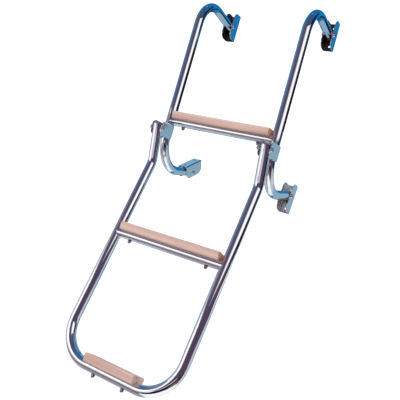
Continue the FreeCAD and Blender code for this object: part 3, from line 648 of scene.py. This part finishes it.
for level, body, seat, spacing in (
        ("upper", "upper_frame", on_upper_frame, LONG_TREAD_SCREWS),
        ("middle", "lower_frame", at_middle_rung, LONG_TREAD_SCREWS),
        ("bottom", "lower_frame", at_bottom_rung, SHORT_TREAD_SCREWS)):
    grid, faces = turned_part(screw_rows(), sides=36)
    upright = np.stack([grid[..., 1], grid[..., 2], grid[..., 0]], -1)
    pair = [(seat(upright + np.array([end * spacing / 2, 0, 0])), faces) for end in (-1, 1)]
    make_piece(level + "_screws_metal", pair, body, screw_steel,
               [level + "_tread_screws"])

# Leg plugs: caps of dark plastic pressed into the open tops of the legs, with a rounded rim and the
# fine mottle of a moulding.

PLUG_STEM = 0.007
PLUG_SIDE = 0.0006
PLUG_CAP = 0.0020
PLUG_FLAT = 0.0094

plug_plastic, plug_shader, plug_add, plug_join = node_tree("leg_plug")
plug_place = plug_add("ShaderNodeTexCoord")
plug_mottle = plug_add("ShaderNodeTexNoise", Scale=900.0, Detail=3.0, Roughness=0.6)
plug_join(plug_place.outputs["Object"], plug_mottle.inputs["Vector"])
plug_tone = plug_add("ShaderNodeMix", data_type="RGBA")
plug_tone.inputs["A"].default_value = (0.060, 0.060, 0.085, 1)
plug_tone.inputs["B"].default_value = (0.130, 0.130, 0.165, 1)
plug_join(plug_mottle.outputs["Fac"], plug_tone.inputs["Factor"])
plug_join(plug_tone.outputs["Result"], plug_shader.inputs["Base Color"])
plug_shader.inputs["Roughness"].default_value = 0.35


def plug_grid():
    """Stem and rounded cap up the leg's axis, measured from the tube's end."""
    bore = TUBE_RADIUS - TUBE_WALL
    rows = [(-PLUG_STEM, 0.0, None), (-PLUG_STEM, bore, None), (0.0, bore, None),
            (0.0, TUBE_RADIUS, None), (PLUG_SIDE, TUBE_RADIUS, None),
            *dome_rows(PLUG_SIDE, PLUG_CAP - PLUG_SIDE, TUBE_RADIUS, PLUG_FLAT),
            (PLUG_CAP, 0.0, None)]
    grid, faces = turned_part(rows)
    upright = np.stack([grid[..., 1], grid[..., 2], grid[..., 0] + LEG_ABOVE_PIN], -1)
    y = upright[..., 1] * cos(CRANK_LEAN) - upright[..., 2] * sin(CRANK_LEAN)
    z = upright[..., 1] * sin(CRANK_LEAN) + upright[..., 2] * cos(CRANK_LEAN)
    return np.stack([upright[..., 0], y + PIN_Y, z + PIN_Z], -1), faces


plug, plug_faces = plug_grid()
for side, x in (("left", 0.0), ("right", RAIL_SPACING)):
    make_piece(side + "_plug_cap", [(plug + np.array([x, 0, 0]), plug_faces)], "lower_frame",
               plug_plastic, [side + "_leg_plug"])

# Studio: pale floor far below the hanging ladder, white all round and a soft lamp. White panels and
# rings of dark, blue and pale boards, out of the picture and seen only in reflections, give the
# polished tubes their bands.

MIDDLE = np.array([0.141, -0.2, -0.4])
FLOOR_Z = -2.2


def toward(turn, rise, distance):
    """Place round the ladder, in degrees: turn from the camera's side to the right, rise upwards.

    Middle + distance (cos rise (cos turn front + sin turn right) + sin rise up).
    """
    a, b = np.radians(turn), np.radians(rise)
    front = np.array([0.477, -0.879, 0])
    right = np.array([0.879, 0.477, 0])
    flat = np.multiply.outer(np.cos(a), front) + np.multiply.outer(np.sin(a), right)
    up = np.array([0, 0, 1.0])
    return MIDDLE + distance * (np.cos(b)[..., None] * flat + np.multiply.outer(np.sin(b), up))


board_paint, _, board_add, board_join = node_tree("board_paint")
board_tint = board_add("ShaderNodeAttribute", attribute_name="tint")
board_glow = board_add("ShaderNodeEmission")
board_join(board_tint.outputs["Color"], board_glow.inputs["Color"])
board_join(board_glow.outputs["Emission"],
           board_paint.node_tree.nodes["Material Output"].inputs["Surface"])


def curved_board(name, turns, rises, start, end, distance):
    """Part of a sphere round the ladder; its tint runs from start to end along its turns."""
    across, up = np.linspace(*turns, 16), np.linspace(*rises, 12)
    a, b = np.meshgrid(across, up, indexing="ij")
    mesh = bpy.data.meshes.new(name)
    mesh.from_pydata(toward(a, b, distance).reshape(-1, 3).tolist(), [],
                     grid_faces(16, 12, loop_columns=False).tolist())
    share = np.repeat(np.linspace(0, 1, 16), 12)[:, None]
    tint = (1 - share) * np.array([*start, 1.0]) + share * np.array([*end, 1.0])
    mesh.color_attributes.new("tint", "FLOAT_COLOR", "POINT").data.foreach_set("color", tint.ravel())
    mesh.materials.append(board_paint)
    card = bpy.data.objects.new(name, mesh)
    bpy.context.scene.collection.objects.link(card)
    card.visible_camera = False
    card.visible_diffuse = False
    card.visible_shadow = False


PURPLE = (0.105, 0.064, 0.115)
DUSK = (0.118, 0.112, 0.175)
SLATE = (0.085, 0.175, 0.320)
SKY = (0.110, 0.320, 0.530)
PALE_SKY = (0.250, 0.520, 0.720)
HIGH_BLUE = (0.012, 0.170, 0.420)
BLACK = (0.012, 0.009, 0.026)
BROWN = (0.230, 0.145, 0.100)
MAUVE = (0.230, 0.165, 0.215)
GREY_PURPLE = (0.260, 0.240, 0.330)
DEEP_BLUE = (0.004, 0.230, 0.530)
SOFT_BLUE = (0.320, 0.480, 0.590)
PALE_GREY = (0.640, 0.650, 0.690)
LAVENDER = (0.560, 0.500, 0.600)
MID_GREY = (0.400, 0.400, 0.400)
MIST = (0.450, 0.550, 0.640)
DIM_BLUE = (0.300, 0.360, 0.480)
WARM_GREY = (0.480, 0.440, 0.460)
ROSE = (0.72, 0.66, 0.74)
MID_BLUE = (0.030, 0.280, 0.520)
NIGHT_BLUE = (0.05, 0.10, 0.20)
WHITE = (1.35, 1.30, 1.31)

# Each board's name, its turns, its rises, its tint at either end of the turns and its distance
FAR, NEAR, VEIL, CLOSE = 2.4, 1.7, 1.1, 0.7
BOARDS = [
    ("back_left_sky", (-180, -120), (-20, 34), SKY, SKY, FAR),
    ("back_left_low", (-180, -110), (-62, -20), MIST, PALE_GREY, NEAR),
    ("left_sky", (-120, -92), (8, 34), SKY, SLATE, FAR),
    ("left_high", (-150, -80), (34, 50), HIGH_BLUE, SLATE, FAR),
    ("back_left_high", (-180, -150), (34, 50), PALE_SKY, PALE_SKY, FAR),
    ("left_slate", (-92, -60), (12, 50), SLATE, DUSK, FAR + 0.05),
    ("left_veil", (-125, -68), (2, 14), GREY_PURPLE, GREY_PURPLE, VEIL),
    ("back_left_veil", (-180, -125), (2, 26), DIM_BLUE, GREY_PURPLE, VEIL),
    ("left_rose", (-135, -90), (-16, 10), LAVENDER, LAVENDER, FAR - 0.05),
    ("left_low_pale", (-120, -46), (-26, -16), LAVENDER, LAVENDER, FAR),
    ("left_low_mauve", (-110, -46), (-44, -27), MAUVE, MAUVE, FAR),
    ("left_low_grey", (-110, -46), (-62, -44), WARM_GREY, MAUVE, NEAR),
    ("left_floor", (-180, -46), (-84, -62), MID_GREY, MID_GREY, NEAR),
    ("front_dusk", (-60, -20), (-8, 50), DUSK, PURPLE, FAR),
    ("front_purple", (-40, 80), (-22, 50), PURPLE, PURPLE, FAR + 0.1),
    ("front_low_pale", (-34, 4), (-20, -14), ROSE, ROSE, FAR),
    ("front_low_dark", (-46, 62), (-48, -22), BLACK, BLACK, FAR + 0.1),
    ("front_low_brown", (8, 40), (-48, -30), BROWN, BROWN, FAR),
    ("right_black", (66, 118), (-4, 52), BLACK, BLACK, FAR),
    ("right_pale_floor", (62, 120), (-62, -8), PALE_GREY, PALE_GREY, FAR),
    ("back_blue", (116, 180), (-24, 50), DEEP_BLUE, DEEP_BLUE, FAR + 0.1),
    ("back_low_blue", (130, 180), (-56, -24), DEEP_BLUE, DEEP_BLUE, FAR),
    ("back_black", (118, 180), (12, 23), BLACK, BLACK, FAR),
    ("back_pale", (104, 134), (-34, 18), SOFT_BLUE, SOFT_BLUE, CLOSE),
    ("back_pale_low", (134, 180), (-34, 9), SOFT_BLUE, SOFT_BLUE, CLOSE),
    ("back_mid_blue", (134, 180), (9, 18), MID_BLUE, DEEP_BLUE, CLOSE),
    ("top_left", (-180, -60), (50, 88), HIGH_BLUE, HIGH_BLUE, FAR),
    ("top_front", (-60, 60), (50, 88), NIGHT_BLUE, NIGHT_BLUE, FAR),
    ("top_right", (60, 180), (50, 88), HIGH_BLUE, HIGH_BLUE, FAR),
    ("front_panel_fade", (-12, 20), (12, 42), PURPLE, WHITE, NEAR),
    ("front_panel", (20, 46), (12, 42), WHITE, WHITE, NEAR),
    ("front_panel_end", (46, 68), (12, 42), WHITE, BLACK, NEAR),
    ("left_panel_fade", (-104, -80), (-16, 8), LAVENDER, WHITE, NEAR),
    ("left_panel", (-80, -48), (-18, 9), WHITE, WHITE, NEAR),
]
for board in BOARDS:
    curved_board(*board)

# The floor stands far below and is left out of the light that falls on matt surfaces
floor_mesh = bpy.data.meshes.new("floor")
floor_mesh.from_pydata([(-14, -14, 0), (14, -14, 0), (14, 14, 0), (-14, 14, 0)], [], [(0, 1, 2, 3)])
floor = bpy.data.objects.new("floor", floor_mesh)
bpy.context.scene.collection.objects.link(floor)
floor.location = (0.14, -0.2, FLOOR_Z)
floor_paint, floor_shader, _, _ = node_tree("floor_paint")
floor_shader.inputs["Base Color"].default_value = (0.97, 0.97, 0.97, 1)
floor_shader.inputs["Roughness"].default_value = 0.9
floor_shader.inputs["Emission Color"].default_value = (1, 1, 1, 1)
floor_shader.inputs["Emission Strength"].default_value = 0.05
floor_mesh.materials.append(floor_paint)
floor.visible_diffuse = False

# The room is white to the camera and in reflections; its light on matt surfaces fades downwards
world = bpy.data.worlds.new("white_room")
bpy.context.scene.world = world
world.use_nodes = True
room, join_room = world.node_tree.nodes, world.node_tree.links.new
seen = room.new("ShaderNodeLightPath")
either = room.new("ShaderNodeMath")
either.operation = "MAXIMUM"
join_room(seen.outputs["Is Camera Ray"], either.inputs[0])
join_room(seen.outputs["Is Glossy Ray"], either.inputs[1])
also = room.new("ShaderNodeMath")
also.operation = "MAXIMUM"
join_room(either.outputs[0], also.inputs[0])
join_room(seen.outputs["Is Transmission Ray"], also.inputs[1])
heading = room.new("ShaderNodeTexCoord")
upwards = room.new("ShaderNodeSeparateXYZ")
join_room(heading.outputs["Generated"], upwards.inputs[0])
soft = room.new("ShaderNodeMapRange")
soft.inputs["From Min"].default_value = -0.5
soft.inputs["From Max"].default_value = 0.6
soft.inputs["To Min"].default_value = 0.72
soft.inputs["To Max"].default_value = 1.10
join_room(upwards.outputs["Z"], soft.inputs["Value"])
level = room.new("ShaderNodeMapRange")
level.inputs["To Max"].default_value = 1.25
join_room(also.outputs[0], level.inputs["Value"])
join_room(soft.outputs["Result"], level.inputs["To Min"])
join_room(level.outputs["Result"], room["Background"].inputs["Strength"])
room["Background"].inputs["Color"].default_value = (1, 1, 1, 1)

key = bpy.data.lights.new("key", "AREA")
key.energy = 14
key.size = 1.2
holder = bpy.data.objects.new("key", key)
bpy.context.scene.collection.objects.link(holder)
holder.location = toward(-8.0, 40.0, 2.6)
holder.rotation_mode = "QUATERNION"
holder.rotation_quaternion = (Vector(MIDDLE) - holder.location).to_track_quat("-Z", "Y")
holder.visible_glossy = False

scene = bpy.context.scene
scene.view_settings.view_transform = "Standard"

# Camera at the photograph's place, fitted to the edges of the tubes and to the rungs: it stands to
# the ladder's right and looks a little upwards, turned and rolled as the picture is.

lens = bpy.data.cameras.new("photo_camera")
lens.sensor_width = 36
lens.lens = 48.395
lens.shift_x = -0.0261
lens.shift_y = -0.0540
camera = bpy.data.objects.new("photo_camera", lens)
scene.collection.objects.link(camera)
camera.matrix_world = Matrix((
    (0.854701, -0.206478, 0.476292, 0.737814),
    (0.443033, -0.188082, -0.876554, -1.253253),
    (0.270571, 0.960204, -0.069278, -0.514688),
    (0, 0, 0, 1)))
scene.camera = camera
